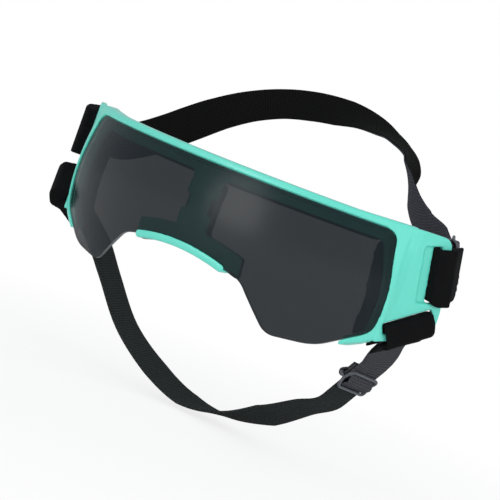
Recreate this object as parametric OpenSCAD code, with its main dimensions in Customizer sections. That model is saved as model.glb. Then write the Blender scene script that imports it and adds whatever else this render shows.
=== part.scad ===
// Dog goggles: a one-piece visor lens in a moulded soft frame, held by a head strap and a chin strap.
// Millimetres. X runs to the right as seen from the front, Y runs back over the dog's head, Z is up.
// The origin is the middle of the face seat, at the rear of the nose pad.

/* [Lens] */
// Radius of the lens's outer surface, a part of a sphere
lens_radius = 118.4; // [110:0.2:126]
// Height of the centre of that sphere above the origin
lens_centre_z = 11; // [6:0.5:16]
// Thickness of the lens
lens_wall = 2; // [1.6:0.1:2.4]
// Half the width of the lens, at its widest
lens_half_width = 85.3; // [82:0.1:87]
// Height of the lens's top edge
lens_top_z = 34.5; // [32:0.5:37]
// Height of the lowest points of the lens's two lobes
lens_lobe_z = -26.3; // [-30:0.1:-25]
// Height of the lens's edge over the nose, before its arch is rounded
nose_arch_z = -1.2; // [-2.5:0.1:0]
// Gap between the lens's edge and the frame around it
lens_edge_gap = 0.3; // [0.2:0.05:0.5]

/* [Frame] */
// Depth from the lens's outer surface to the front of the flange behind it
flange_setback = 4; // [3.6:0.1:4.6]
// Thickness of the flange, and of all that stands behind the lens
flange_wall = 2.5; // [2:0.1:3]
// How far the rail and rims stand proud of the lens
rim_proud = 0.8; // [0.4:0.1:1.4]
// Height of the rail above the lens's top edge
rail_height = 3.2; // [2.6:0.1:4]
// Width of the ledge that the lens's edge rests on
ledge_width = 1.6; // [1.2:0.1:2.4]
// Gap between the lens and that ledge
ledge_gap = 0.2; // [0.1:0.05:0.4]
// Height of the two windows' top edge
window_top_z = 28.8; // [27:0.2:30]
// Half the width of the bridge between the windows
bridge_half = 7.8; // [6:0.2:10]
// Depth of the notches in the bridge
notch_depth = 2.5; // [1.5:0.1:3.5]
// Height of a notch
notch_height = 6.8; // [4:0.2:9]
// Height of the notches' lower edge
notch_z = 11.8; // [9:0.2:14]

/* [Nose lip] */
// Radius of the arch of the lip's upper edge
lip_radius = 84; // [70:1:110]
// Height of the lip's upper edge at its middle
lip_top_z = -1.6; // [-2.4:0.1:-0.8]
// Thickness of the lip
lip_wall = 3.5; // [2.8:0.1:4.5]
// Half the length of the lip, measured across
lip_half = 21.8; // [18:0.2:24]
// How far the lip stands proud of the lens
lip_proud = 1.6; // [1:0.1:2.4]
// Width of the flange above the lip
nose_flange_width = 6.2; // [4.5:0.1:8]
// Half the length of that flange
nose_flange_half = 27; // [24:0.5:30]

/* [Side panels] */
// Turn of a side panel from straight across
panel_turn = 57; // [52:1:62]
// How far a panel's front edge lies inside the lens's side
panel_inset = 0.5; // [0:0.1:1]
// Depth of that edge behind the face of the rims
panel_setback = 1.6; // [1.2:0.1:2.2]
// Thickness of a side panel
panel_wall = 3; // [2.6:0.1:3.6]
// Height of the panel's top edge
panel_top_z = 38.6; // [37.5:0.1:40]
// Width of the bar that the upper tab wraps
upper_bar_width = 4.8; // [4:0.1:5.6]
// Lean of that bar from upright
upper_bar_lean = 12.3; // [9:0.1:15]
// Width of the bar that the lower tab wraps
lower_bar_width = 4; // [3.6:0.1:4.4]
// Width of the slot over the lower bar
lower_slot_width = 5; // [4.6:0.1:5.4]
// Slope of that bar
lower_bar_slope = 30; // [26:1:34]

/* [Tabs and straps] */
// Width of the webbing
web_width = 18; // [16:0.5:19]
// Thickness of the webbing
web_wall = 1.4; // [1:0.1:1.6]
// Length of a tab along the bar that it wraps
tab_width = 23.5; // [21:0.5:24]
// Thickness of a tab's soft fabric
tab_wall = 1.4; // [1.2:0.1:1.8]
// Gap between a tab and the bar that it wraps
tab_bar_gap = 0.5; // [0.3:0.1:0.7]
// Gap on each side of the webbing inside a tab
tab_web_gap = 0.6; // [0.5:0.1:0.8]
// Distance from an upper bar's middle to the mouth of its tab
upper_reach = 13; // [12:0.5:14]
// Distance from the lower right bar's middle to the mouth of its tab
lower_right_reach = 9; // [8:0.5:10]
// Distance from the lower left bar's middle to the mouth of its tab
lower_left_reach = 15; // [13:0.5:16]
// How far outwards the tail of the lower left tab leaves its loop
lower_left_out = 5; // [3:0.5:6]
// How far the upper left tab sits up its bar
upper_left_lift = 0.7; // [0:0.1:0.7]
// Length of webbing held inside a tab
web_held = 4.5; // [4:0.1:5]

/* [Sliders] */
// Length of a slider along the strap
slider_length = 11; // [10:0.5:12]
// Radius of a slider's bars
slider_bar_r = 0.7; // [0.6:0.05:0.8]
// Gap between the webbing and a slider's bars
slider_gap = 0.3; // [0.2:0.05:0.4]
// Gap between the webbing's edge and a slider's end
slider_edge_gap = 0.6; // [0.5:0.1:1]
// Length of the straight stretch of strap that a slider runs on
slide_run = 27; // [26:0.5:28]
// Thickness of the webbing's end where it is sewn round a slider's middle bar
strap_end_wall = 1; // [0.8:0.1:1.2]
// Length of the sewn strap end past the middle bar
strap_end_length = 7; // [6:0.5:7.5]
// Gap between the sewn end and what it goes round or lies under
strap_end_gap = 0.3; // [0.2:0.05:0.4]

/* [Pads] */
// Thickness of the foam
foam_wall = 5; // [4:0.5:7]
// Gap between the foam and the flange that it is stuck to
foam_gap = 0.2; // [0.1:0.05:0.3]
// Width of the brow pad
brow_width = 9; // [7:0.5:10]

/* [Hidden] */
$fn = 96;

mint = [0.49, 0.87, 0.79];
smoke = [0.22, 0.24, 0.25];
black = [0.07, 0.07, 0.08];
charcoal = [0.17, 0.18, 0.19];

// Radii of the concentric surfaces, from the lens inwards.
lens_inner_r = lens_radius - lens_wall;
ledge_r = lens_inner_r - ledge_gap;
flange_outer_r = lens_radius - flange_setback;
flange_inner_r = flange_outer_r - flange_wall;
foam_outer_r = flange_inner_r - foam_gap;
foam_inner_r = foam_outer_r - foam_wall;
rim_r = lens_radius + rim_proud;
lip_r = lens_radius + lip_proud;

// The rear of the nose pad lies at the origin, a little lower than the sphere's centre.
sphere_y = sqrt(foam_inner_r * foam_inner_r - lens_centre_z * lens_centre_z);
front_depth = 60;

rail_top_z = lens_top_z + rail_height;

// The panels' front edges, across and from front to back.
panel_x = lens_half_width - panel_inset;
panel_y = sphere_y - sqrt(rim_r * rim_r - panel_x * panel_x) + panel_setback;

// Where the lips under the lens's lower corners end, measured across.
lip_start_x = lens_half_width - 12.3;

// Panel coordinates run back along the panel from its front edge, and up.
upper_bar_at = [22.5, 22.6];
upper_bar_span = 25;
upper_slot_front = 11.1;
upper_recess = 5.2;
lower_bar_at = [16.2, -4.9];
lower_bar_span = 24.5;

function unit(v) = v / norm(v);
function mix(a, b, k) = a + (b - a) * k;
function flip(p) = [-p[0], p[1], p[2]];

// Points of the arc that rounds corner b, between its neighbours a and c.
function corner_arc(a, b, c, r) =
    let (
        u = unit([a[0] - b[0], a[1] - b[1]]),
        v = unit([c[0] - b[0], c[1] - b[1]]),
        half = acos(u * v) / 2,
        middle = [b[0], b[1]] + unit(u + v) * r / sin(half),
        start = [b[0], b[1]] + u * r / tan(half) - middle,
        from = atan2(start[1], start[0]),
        turn = (u[0] * v[1] - u[1] * v[0] > 0 ? -1 : 1) * (180 - 2 * half),
        steps = max(2, ceil(abs(turn) / 9), ceil(abs(turn) * r / 200))
    )
    [for (i = [0:steps]) middle + r * [cos(from + turn * i / steps), sin(from + turn * i / steps)]];

// An outline from corners [x, y, radius], each rounded by its own radius.
function rounded(corners) =
    let (n = len(corners))
    [for (i = [0:n - 1])
        let (b = corners[i])
        each b[2] > 0
            ? corner_arc(corners[(i + n - 1) % n], b, corners[(i + 1) % n], b[2])
            : [[b[0], b[1]]]];

// Both halves of a symmetric outline, from the corners of its right half, top first.
function both_sides(half) = concat(half, [for (i = [len(half) - 1:-1:0]) if (half[i][0] > 0) flip(half[i])]);

// The lens's outline seen from the front, grown by g on all sides.
function lens_corners(g) = both_sides([
    [lens_half_width - 5.8 + g, lens_top_z + g, 6],
    [lens_half_width + g, 6, 60],
    [lens_half_width - 2.3 + g, -10 - 0.3 * g, 10],
    [64.5 + 0.7 * g, lens_lobe_z + 2.6 - g, 20],
    [45.7 - 0.7 * g, lens_lobe_z - g, 7],
    [31 - 0.7 * g, -8.2 - g, 9],
    [0, nose_arch_z - g, 78]
]);

// A piece of the shell between two radii, cut to an outline drawn from the front.
module shell_piece(inner, outer) {
    intersection() {
        translate([0, sphere_y, lens_centre_z]) difference() {
            sphere(r = outer);
            sphere(r = inner);
        }
        translate([0, front_depth, 0]) rotate([90, 0, 0]) linear_extrude(2 * front_depth) children();
    }
}

// Puts a drawing in panel coordinates on the right panel's outer face, or cuts that deep.
module on_panel(depth, proud = 0) {
    translate([panel_x, panel_y, 0]) rotate([90, 0, panel_turn])
        translate([0, 0, -depth]) linear_extrude(depth + proud) children();
}

panel_normal = [sin(panel_turn), -cos(panel_turn), 0];
function panel_dir(t, n) = [
    t * cos(panel_turn) + n * sin(panel_turn),
    t * sin(panel_turn) - n * cos(panel_turn)
];
// A point of the right panel, at a depth under its outer face.
function panel_point(at, depth) =
    let (d = panel_dir(at[0], -depth))
    [panel_x + d[0], panel_y + d[1], at[1]];

upper_bar_mid = panel_point(upper_bar_at, panel_wall / 2);
lower_bar_mid = panel_point(lower_bar_at, panel_wall / 2);
// Directions along the two bars, upwards and backwards.
upper_bar_dir = let (d = panel_dir(-sin(upper_bar_lean), 0)) [d[0], d[1], cos(upper_bar_lean)];
lower_bar_dir = let (d = panel_dir(cos(lower_bar_slope), 0)) [d[0], d[1], sin(lower_bar_slope)];

// A strip of the panel along a bar, from one offset to another, turned with the bar.
module bar_strip(at, angle, span, low, high) {
    translate(at) rotate(angle) translate([-span / 2, low]) square([span, high - low]);
}

module panel_outline() {
    polygon(rounded([
        [5.6, panel_top_z, 0],
        [21.5, panel_top_z, 5],
        [27.8, 9.4, 8],
        [28.4, 4.6, 6],
        [28.4, -0.4, 1.6],
        [9, -11.6, 0],
        [6.6, -11.8, 0],
        [1.2, -13.4, 0],
        [1.2, -2.6, 0],
        [5.6, -2.6, 0]
    ]));
}

module panel_slots(grow) {
    bar_strip(upper_bar_at, 90 + upper_bar_lean, upper_bar_span, upper_bar_width / 2,
        upper_slot_front - upper_recess + grow);
    bar_strip(lower_bar_at, lower_bar_slope, lower_bar_span, lower_bar_width / 2,
        lower_bar_width / 2 + lower_slot_width);
}

module side_panel() {
    difference() {
        on_panel(panel_wall) panel_outline();
        on_panel(panel_wall + 1, 1) panel_slots(0);
        on_panel(panel_wall / 2, 1) panel_slots(upper_recess);
    }
}

// The shoulder between rim and panel: each row runs from [out past the lens's side, up]
// on the rim to [back, up] on the panel.
shoulder_rows = [
    [[-5.8, panel_top_z], [6, panel_top_z]],
    [[-2.5, 34.5], [6, 34.5]],
    [[-0.9, 27], [6, 27]],
    [[0, 19], [6, 19]],
    [[0.4, 11], [6, 11]],
    [[0.3, 3], [6, 3]],
    [[-0.1, -3], [5, -3]]
];
shoulder_steps = 5;
shoulder_sunk = 0.4;

function rim_point(at, depth) =
    let (
        r = rim_r - shoulder_sunk,
        x = lens_half_width + at[0],
        z = at[1] - lens_centre_z,
        d = unit([x, -sqrt(r * r - x * x - z * z), z])
    )
    [0, sphere_y, lens_centre_z] + d * (r - depth);
function shoulder_point(row, s, depth) =
    let (
        a = rim_point(row[0], depth),
        b = panel_point(row[1], depth + 0.1),
        m = unit(a - [0, sphere_y, lens_centre_z]),
        d = b - a,
        ta = d - m * (d * m),
        tb = d - panel_normal * (d * panel_normal)
    )
    a * (1 + 2 * s) * pow(1 - s, 2) + ta * s * pow(1 - s, 2) + b * s * s * (3 - 2 * s) - tb * s * s * (1 - s);

module shoulder() {
    n = len(shoulder_rows);
    k = shoulder_steps + 1;
    points = [for (depth = [0, panel_wall - 0.2], i = [0:n - 1], j = [0:shoulder_steps])
        shoulder_point(shoulder_rows[i], j / shoulder_steps, depth)];
    faces = [
        for (i = [0:n - 2], j = [0:shoulder_steps - 1])
            let (a = i * k + j, m = n * k)
            each [[a, a + 1, a + k + 1], [a, a + k + 1, a + k],
                [m + a, m + a + k, m + a + k + 1], [m + a, m + a + k + 1, m + a + 1]],
        for (i = [0:n - 2], e = [[0, 0], [shoulder_steps, 1]])
            let (a = i * k + e[0], b = a + k, m = n * k)
            each e[1] == 0 ? [[a, b, b + m], [a, b + m, a + m]] : [[b, a, a + m], [b, a + m, b + m]],
        for (j = [0:shoulder_steps - 1], e = [[0, 0], [(n - 1) * k, 1]])
            let (a = e[0] + j, b = a + 1, m = n * k)
            each e[1] == 1 ? [[a, b, b + m], [a, b + m, a + m]] : [[b, a, a + m], [b, a + m, b + m]]
    ];
    polyhedron(points = points, faces = faces);
}

// The outline of the frame's curved front, without the open underside between the side lips.
module front_outline() {
    difference() {
        polygon(rounded(both_sides([
            [lens_half_width - 23.3, rail_top_z, 60],
            [lens_half_width - 1.3, panel_top_z + 0.1, 3],
            [lens_half_width + 1.2, 6, 60],
            [lens_half_width + 0.7, -12.4, 10],
            [lens_half_width - 21.3, -24.9, 0]
        ])));
        translate([-lip_start_x, -40]) square([2 * lip_start_x, 40 - 8]);
        translate([-nose_flange_half, -40]) square([2 * nose_flange_half, 44]);
        polygon(rounded([
            [lip_start_x, -60, 0], [lip_start_x, -18, 0], [50, -8, 0], [26, 6, 0], [-26, 6, 0],
            [-50, -8, 0], [-lip_start_x, -18, 0], [-lip_start_x, -60, 0]
        ]));
    }
}

module window(side) {
    polygon([for (p = rounded([
        [bridge_half, window_top_z, 2.5],
        [lens_half_width - 10.5, window_top_z, 4],
        [lens_half_width - 4.4, 8, 60],
        [lens_half_width - 6.7, -12.5, 8],
        [lens_half_width - 14.1, -19.6, 0],
        [lens_half_width - 14.1, -40, 0],
        [bridge_half, -40, 0]
    ])) [side * p[0], p[1]]]);
    translate([side > 0 ? bridge_half - notch_depth : -bridge_half - 1, notch_z])
        square([notch_depth + 1, notch_height]);
}

// An arch concentric with the nose lip.
module nose_arch(low, high, half) {
    intersection() {
        translate([0, lip_top_z - lip_radius]) difference() {
            circle(r = lip_radius + high, $fn = 180);
            circle(r = lip_radius + low, $fn = 180);
        }
        translate([-half, -20]) square([2 * half, 40]);
    }
}

module nose_lip_outline() {
    nose_arch(-lip_wall, 0, lip_half);
    for (side = [-1, 1])
        translate([side * lip_half,
            lip_top_z - lip_radius + sqrt(pow(lip_radius - lip_wall / 2, 2) - lip_half * lip_half)])
            circle(r = lip_wall / 2, $fn = 32);
}

// The space beside and behind the lower bar that its tab fills.
module lower_tab_space() {
    on_panel(14, 2) bar_strip(lower_bar_at, lower_bar_slope, lower_bar_span + 3,
        -lower_bar_width / 2 - 4.5, lower_bar_width / 2 + lower_slot_width);
}
// The space that the tail of a lower tab passes through.
module tail_space(root, tail, reach, across) {
    band(straight(root + tail, root + tail * (reach + 2), lower_bar_dir, across, 3), tab_width + 1.6,
        -tail_half - 0.6, tail_half + 0.6);
}
module left_tail_space() {
    mirror([1, 0, 0])
        tail_space(flip(lower_left_root), flip(lower_left_tail), lower_left_reach, lower_bar_dir);
}

module curved_front() {
    shell_piece(flange_inner_r, flange_outer_r) difference() {
        front_outline();
        window(1);
        window(-1);
    }
    shell_piece(flange_inner_r, flange_outer_r) intersection() {
        nose_arch(-lip_wall, nose_flange_width, nose_flange_half);
        polygon(rounded(lens_corners(0)));
    }
    shell_piece(flange_inner_r, flange_outer_r)
        translate([-bridge_half + 0.4, 0]) square([2 * bridge_half - 0.8, notch_z - 1]);
    shell_piece(flange_inner_r, ledge_r) difference() {
        front_outline();
        polygon(rounded(lens_corners(-ledge_width)));
    }
    shell_piece(flange_inner_r, rim_r) difference() {
        front_outline();
        polygon(rounded(lens_corners(lens_edge_gap)));
    }
}

module frame() {
    color(mint) {
        difference() {
            curved_front();
            for (side = [0, 1]) mirror([side, 0, 0]) lower_tab_space();
            tail_space(lower_bar_mid, lower_right_tail, lower_right_reach, lower_right_across);
            left_tail_space();
        }
        difference() {
            shell_piece(flange_inner_r, lip_r) nose_lip_outline();
            shell_piece(ledge_r, lens_radius + ledge_gap) polygon(rounded(lens_corners(lens_edge_gap)));
        }
        difference() {
            for (side = [0, 1]) mirror([side, 0, 0]) {
                side_panel();
                shoulder();
            }
            shell_piece(ledge_r, lens_radius + 10) polygon(rounded(lens_corners(lens_edge_gap)));
            left_tail_space();
        }
    }
}

module lens() {
    color(smoke, 0.8) shell_piece(lens_inner_r, lens_radius) polygon(rounded(lens_corners(0)));
}

module brow_pad() {
    color(black) shell_piece(foam_inner_r, foam_outer_r) polygon(rounded(both_sides([
        [lens_half_width - 13.3, window_top_z - 1.4 + brow_width, 3],
        [lens_half_width - 13.3, window_top_z - 1.4, 3]
    ])));
}

module side_pad(side) {
    color(black) shell_piece(foam_inner_r, foam_outer_r)
        polygon([for (p = rounded([
            [-12.3, 34, 2],
            [-5.5, 26, 6],
            [-3.8, 4, 60],
            [-5.3, -13, 4],
            [-12.8, -17, 3],
            [-10.8, 2, 60],
            [-13.7, 24.6, 4]
        ])) [side * (lens_half_width + p[0]), p[1]]]);
}

module nose_pad() {
    color(black) shell_piece(foam_inner_r, foam_outer_r) {
        nose_arch(-lip_wall, nose_flange_width - 0.6, nose_flange_half - 1);
        translate([-bridge_half, 0]) square([2 * bridge_half, window_top_z - 2.2]);
    }
}

// Webbing and tabs are bands. A band's stations are [middle, direction across it].
// The unit normal of a band at station i.
function band_along(st, i) = unit(st[min(i + 1, len(st) - 1)][0] - st[max(i - 1, 0)][0]);
function band_across(st, i) =
    let (w = unit(st[i][1]), t = band_along(st, i))
    w / norm(cross(w, t));
function band_normal(st, i) = unit(cross(band_along(st, i), st[i][1]));

// A closed solid along the stations, as wide as given, between two offsets along the normal.
module band(st, width, low, high) {
    n = len(st);
    points = [for (i = [0:n - 1])
        let (a = band_across(st, i) * width / 2, m = band_normal(st, i), c = st[i][0])
        each [c - a + m * low, c + a + m * low, c + a + m * high, c - a + m * high]];
    sides = [for (i = [0:n - 2], j = [0:3])
        let (a = 4 * i + j, b = 4 * i + (j + 1) % 4)
        each [[a, b + 4, b], [a, a + 4, b + 4]]];
    last = 4 * n - 4;
    ends = [[0, 2, 3], [0, 1, 2], [last, last + 2, last + 1], [last, last + 3, last + 2]];
    polyhedron(points = points, faces = concat(sides, ends));
}

// Stations of a smooth curve through the route, with the direction of each end given.
function route_slope(route, i, first, last) =
    i == 0 ? first * norm(route[1][0] - route[0][0])
    : i == len(route) - 1 ? last * norm(route[i][0] - route[i - 1][0])
    : (route[i + 1][0] - route[i - 1][0]) / 2;
function smooth_route(route, first, last, steps) = [
    for (i = [0:len(route) - 2], k = [0:steps - 1])
        let (
            s = k / steps,
            p = route[i][0], q = route[i + 1][0],
            a = route_slope(route, i, first, last), b = route_slope(route, i + 1, first, last)
        )
        [
            p * (1 + 2 * s) * pow(1 - s, 2) + a * s * pow(1 - s, 2)
                + q * s * s * (3 - 2 * s) - b * s * s * (1 - s),
            mix(unit(route[i][1]), unit(route[i + 1][1]), s)
        ],
    [route[len(route) - 1][0], unit(route[len(route) - 1][1])]
];

// Turns that lay a slider's length, width and outer face on the straight runs of the two straps.
head_run_angles = [66, -16.3, 130.3];
head_slider_at = [87, 70.4, 28.4];
chin_run_angles = [194.6, 59, 180];
chin_slider_at = [73.6, 49, -35.2];

// The direction of a run away from its tab, and the direction across the webbing on it.
function run_along(a) = [cos(a[1]) * cos(a[2]), cos(a[1]) * sin(a[2]), -sin(a[1])];
function run_across(a) =
    cos(a[0]) * [-sin(a[2]), cos(a[2]), 0]
    + sin(a[0]) * [sin(a[1]) * cos(a[2]), sin(a[1]) * sin(a[2]), cos(a[1])];

head_along = run_along(head_run_angles);
head_across = run_across(head_run_angles);
chin_along = run_along(chin_run_angles);
chin_across = run_across(chin_run_angles);

head_run_start = head_slider_at - slide_run / 2 * head_along;
head_run_end = head_slider_at + slide_run / 2 * head_along;
chin_run_start = chin_slider_at - slide_run / 2 * chin_along;
chin_run_end = chin_slider_at + slide_run / 2 * chin_along;

// Directions of the tabs' tails, and of the webbing's width in the mouths of the lower ones.
upper_left_tail = unit([-0.05, 0.98, 0.18]);
upper_right_tail = unit([0, 0.98, 0.18]);
lower_left_tail = unit([0.73, 0.4, -0.56]);
lower_right_tail = unit(chin_run_start - 7 * lower_bar_dir - lower_bar_mid);
lower_left_across = flip(lower_bar_dir);
lower_right_across = mix(lower_bar_dir, chin_across, 0.12);

function tail_point(mid, dir, reach) = mid + dir * reach;
upper_left_end = tail_point(flip(upper_bar_mid), upper_left_tail, upper_reach);
upper_right_end = tail_point(upper_bar_mid, upper_right_tail, upper_reach);
lower_left_root = flip(lower_bar_mid + lower_left_out * panel_normal);
lower_left_end = tail_point(lower_left_root, lower_left_tail, lower_left_reach);
lower_right_end = tail_point(lower_bar_mid, lower_right_tail, lower_right_reach);

// The head strap's route from the left tab round to the straight run, lower edge to upper edge.
head_route = [
    [upper_left_end, flip(upper_bar_dir)],
    [[-98, 72, 22], [0, -1, 10]],
    [[-96, 87, 26], [-3, -2, 9]],
    [[-93, 102, 33], [-5, -3, 8]],
    [[-91, 116, 40], [-6, -2, 8]],
    [[-85, 131, 50], [-6, 1, 7]],
    [[-75, 142, 59], [-5, 3, 8]],
    [[-61, 149, 66], [-3, 4, 8]],
    [[-45, 151, 70], [-1, 5, 9]],
    [[-27, 148, 72], [1, 6, 8]],
    [[-10, 142, 72], [3, 8, 5]],
    [[4, 135, 70], [4, 9, 2]],
    [[15, 129, 68], [2, 10, 0]],
    [[24, 123, 65], [2, 10, -1]],
    [[31, 117, 61], [2, 9, -3]],
    [[35, 111, 56], [1, 8, -5]],
    [[40, 105, 51], [-1, 7, -7]],
    [[45, 100, 47], [-4, 8, -5]],
    [[52, 95, 42], [-5, 7, -4]],
    [[61, 90, 37], [-6, 6, -5]],
    [head_run_end, -head_across]
];

// The chin strap's route from the left tab, under the jaw, to its straight run.
chin_route = [
    [lower_left_end, -lower_left_across],
    [[-74, 47, -25], [2, -9, -4]],
    [[-64, 49, -37], [1, -10, -2]],
    [[-47, 51, -56], [1, -10, -2]],
    [[-26, 53, -69], [2, -9, -3]],
    [[-5, 54, -76], [2, -9, -2]],
    [[16, 54, -75], [3, -9, 2]],
    [[36, 53, -67], [-1, -9, 5]],
    [[53, 51, -56], [-1.5, -9.5, 3]],
    [chin_run_end, -chin_across]
];

// Stations between two ends, the direction across turning evenly.
function straight(a, b, wa, wb, steps) = [for (i = [0:steps]) [mix(a, b, i / steps), mix(wa, wb, i / steps)]];

head_stations = concat(
    [[upper_left_end - upper_left_tail * web_held, flip(upper_bar_dir)]],
    smooth_route(head_route, upper_left_tail, -head_along, 3),
    [
        [head_slider_at, -head_across],
        [head_slider_at - head_along * slide_run / 2.6, -head_across],
        [upper_right_end + upper_right_tail, -upper_bar_dir],
        [upper_right_end - upper_right_tail * web_held, -upper_bar_dir]
    ]
);
chin_stations = concat(
    [[lower_left_end - lower_left_tail * web_held, -lower_left_across]],
    smooth_route(chin_route, lower_left_tail, -chin_along, 4),
    [[chin_slider_at, -chin_across]],
    straight(chin_run_start, lower_right_end, -chin_across, -lower_right_across, 3),
    [[lower_right_end - lower_right_tail * web_held, -lower_right_across]]
);

module upper_bar_frame() {
    translate(upper_bar_mid) rotate([0, 0, panel_turn - 90]) rotate([upper_bar_lean, 0, 0]) children();
}
module lower_bar_frame() {
    translate(lower_bar_mid) rotate([0, 0, panel_turn - 90]) rotate([lower_bar_slope - 90, 0, 0]) children();
}

// A tab seen along its bar: X is out of the panel, Y across the bar away from its slot.
module bar_hole(bar_width) {
    translate([-panel_wall / 2 - tab_bar_gap, -bar_width / 2 - tab_bar_gap])
        square([panel_wall + 2 * tab_bar_gap, bar_width + 2 * tab_bar_gap]);
}
module along_bar(length) {
    translate([0, 0, -length / 2]) linear_extrude(length) children();
}

// Half the thickness of a tab's tail, and of the pocket in it.
pocket_half = web_wall / 2 + tab_web_gap;
tail_half = pocket_half + tab_wall;
pocket_end_gap = 1.8;

// The room under an outline drawn as [across the bar, along it], seen from outside.
module under_outline(corners) {
    rotate([90, 0, 90]) translate([0, 0, -30]) linear_extrude(60) polygon(rounded(corners));
}

// The fold over an upper tab's outside, which hangs lower than its loop.
module upper_fold(bulge, low) {
    translate([0, 0, -low]) linear_extrude(low) polygon(rounded([
        [panel_wall / 2 + tab_bar_gap, -5.1, 0.6],
        [0.8 * bulge, -4.9, 2],
        [bulge, -1.5, 3],
        [0.86 * bulge, 4, 4],
        [panel_wall / 2 + tab_bar_gap, 6.5, 0.6]
    ]));
}

// An upper tab: its tail runs square to the bar, at an angle from the panel.
module upper_tab(tail, bulge, low) {
    out = tail * panel_normal;
    back = tail * cross(panel_normal, upper_bar_dir) * -1;
    d = unit([out, back]);
    m = [-d[1], d[0]];
    mouth = d * upper_reach;
    inner = mouth - d * (web_held + pocket_end_gap);
    outer = mouth + d * 4;
    color(black) upper_bar_frame() difference() {
        intersection() {
            union() {
                along_bar(tab_width) polygon(rounded([
                    [-panel_wall / 2 - tab_bar_gap - tab_wall, -4.8, 1.5],
                    [1.6, -5.4, 0.8],
                    [0.8 * bulge, -4.9, 2],
                    [bulge, -1.5, 3],
                    [0.86 * bulge, 4, 4],
                    [mouth[0] - m[0] * tail_half, mouth[1] - m[1] * tail_half, 0.8],
                    [mouth[0] + m[0] * tail_half, mouth[1] + m[1] * tail_half, 0.8],
                    [-panel_wall / 2 - tab_bar_gap - tab_wall, 1.5, 2]
                ]));
                upper_fold(bulge, low);
            }
            under_outline([
                [-6, tab_width, 0], [-6, -low, 5], [8, -low, 6],
                [upper_reach + 2, 4 - tab_width / 2, 3], [upper_reach + 2, tab_width, 0]
            ]);
        }
        along_bar(tab_width + 2) bar_hole(upper_bar_width);
        along_bar(tab_width + 2) polygon([
            inner - m * pocket_half, outer - m * pocket_half, outer + m * pocket_half, inner + m * pocket_half
        ]);
    }
}

// A lower tab: its tail runs off at a slant to the bar, and its mouth may be turned.
module lower_tab(root, tail, reach, across, bulge) {
    mouth = root + tail * reach;
    inner = mouth - tail * (web_held + pocket_end_gap);
    color(black) difference() {
        union() {
            lower_bar_frame() along_bar(tab_width) polygon(rounded([
                [-panel_wall / 2 - tab_bar_gap - tab_wall, -5.4, 1.5],
                [1.6, -6.6, 0.8],
                [0.8 * bulge, -5.6, 2],
                [bulge, -2, 3],
                [0.8 * bulge, 4.4, 3],
                [-1.5, 6.5, 2],
                [-panel_wall / 2 - tab_bar_gap - tab_wall, 3, 2]
            ]));
            band(straight(root + tail * 2, mouth, lower_bar_dir, across, 3), tab_width,
                -tail_half, tail_half);
        }
        lower_bar_frame() along_bar(tab_width + 2) bar_hole(lower_bar_width);
        band([[inner, across], [mouth, across], [mouth + tail * 4, across]], tab_width + 6,
            -pocket_half, pocket_half);
    }
}

module upper_right_tab() { upper_tab(upper_right_tail, 4.6, 13.6); }
module upper_left_tab() {
    translate(upper_left_lift * flip(upper_bar_dir)) mirror([1, 0, 0])
        upper_tab(flip(upper_left_tail), 7.8, 12.3);
}
module lower_right_tab() {
    intersection() {
        lower_tab(lower_bar_mid, lower_right_tail, lower_right_reach, lower_right_across, 4.8);
        lower_bar_frame() under_outline([
            [-6.7, tab_width / 2, 1.2], [9.2, tab_width / 2, 9], [10.5, -2 * tab_width, 0], [-6.7, -2 * tab_width, 0]
        ]);
    }
}
module lower_left_tab() {
    mirror([1, 0, 0])
        lower_tab(flip(lower_left_root), flip(lower_left_tail), lower_left_reach, lower_bar_dir, 10.5);
}

// Sliders, seen along the strap: X along it away from the tab, Y across it, Z out of its face.
outer_bar_z = web_wall / 2 + slider_gap + slider_bar_r;
middle_bar_z = -web_wall / 2 - 2 * strap_end_gap - strap_end_wall - slider_bar_r;
slider_rail = 1.3;
rail_proud = 0.15;
slider_half = web_width / 2 + slider_edge_gap + slider_rail;

module crossbar(x, z) {
    length = 2 * slider_half - slider_rail;
    translate([x, length / 2, z]) rotate([90, 0, 0]) cylinder(r = slider_bar_r, h = length);
}

module slider() {
    end = slider_length / 2;
    r = slider_bar_r + rail_proud;
    top = outer_bar_z + r;
    color(charcoal) {
        crossbar(r - end, outer_bar_z);
        crossbar(end - r, outer_bar_z);
        crossbar(0, middle_bar_z);
        for (side = [-1, 1])
            translate([0, side * (slider_half - slider_rail / 2) + slider_rail / 2, 0])
                rotate([90, 0, 0]) linear_extrude(slider_rail) polygon(rounded([
                    [-end, top, r],
                    [2 * r - end, top, 0],
                    [-r, middle_bar_z + r, 1],
                    [r, middle_bar_z + r, 1],
                    [end - 2 * r, top, 0],
                    [end, top, r],
                    [end, top - 2.4 * r, 1],
                    [2 * r, middle_bar_z - r, 1.4],
                    [-2 * r, middle_bar_z - r, 1.4],
                    [-end, top - 2.4 * r, 1]
                ]));
    }
}

// The webbing's end, folded round the middle bar and sewn down on the side of the tab.
module strap_end() {
    r = slider_bar_r + strap_end_gap + strap_end_wall;
    color(charcoal) translate([0, web_width / 2, middle_bar_z]) rotate([90, 0, 0]) linear_extrude(web_width)
        difference() {
            union() {
                circle(r = r, $fn = 48);
                translate([-strap_end_length, r - 2 * strap_end_wall])
                    square([strap_end_length, 2 * strap_end_wall]);
            }
            circle(r = slider_bar_r + strap_end_gap, $fn = 48);
        }
}

module on_head_run() { translate(head_slider_at) rotate(head_run_angles) children(); }
module on_chin_run() { translate(chin_slider_at) rotate(chin_run_angles) children(); }

module webbing(st) { color(charcoal) band(st, web_width, -web_wall / 2, web_wall / 2); }

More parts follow.
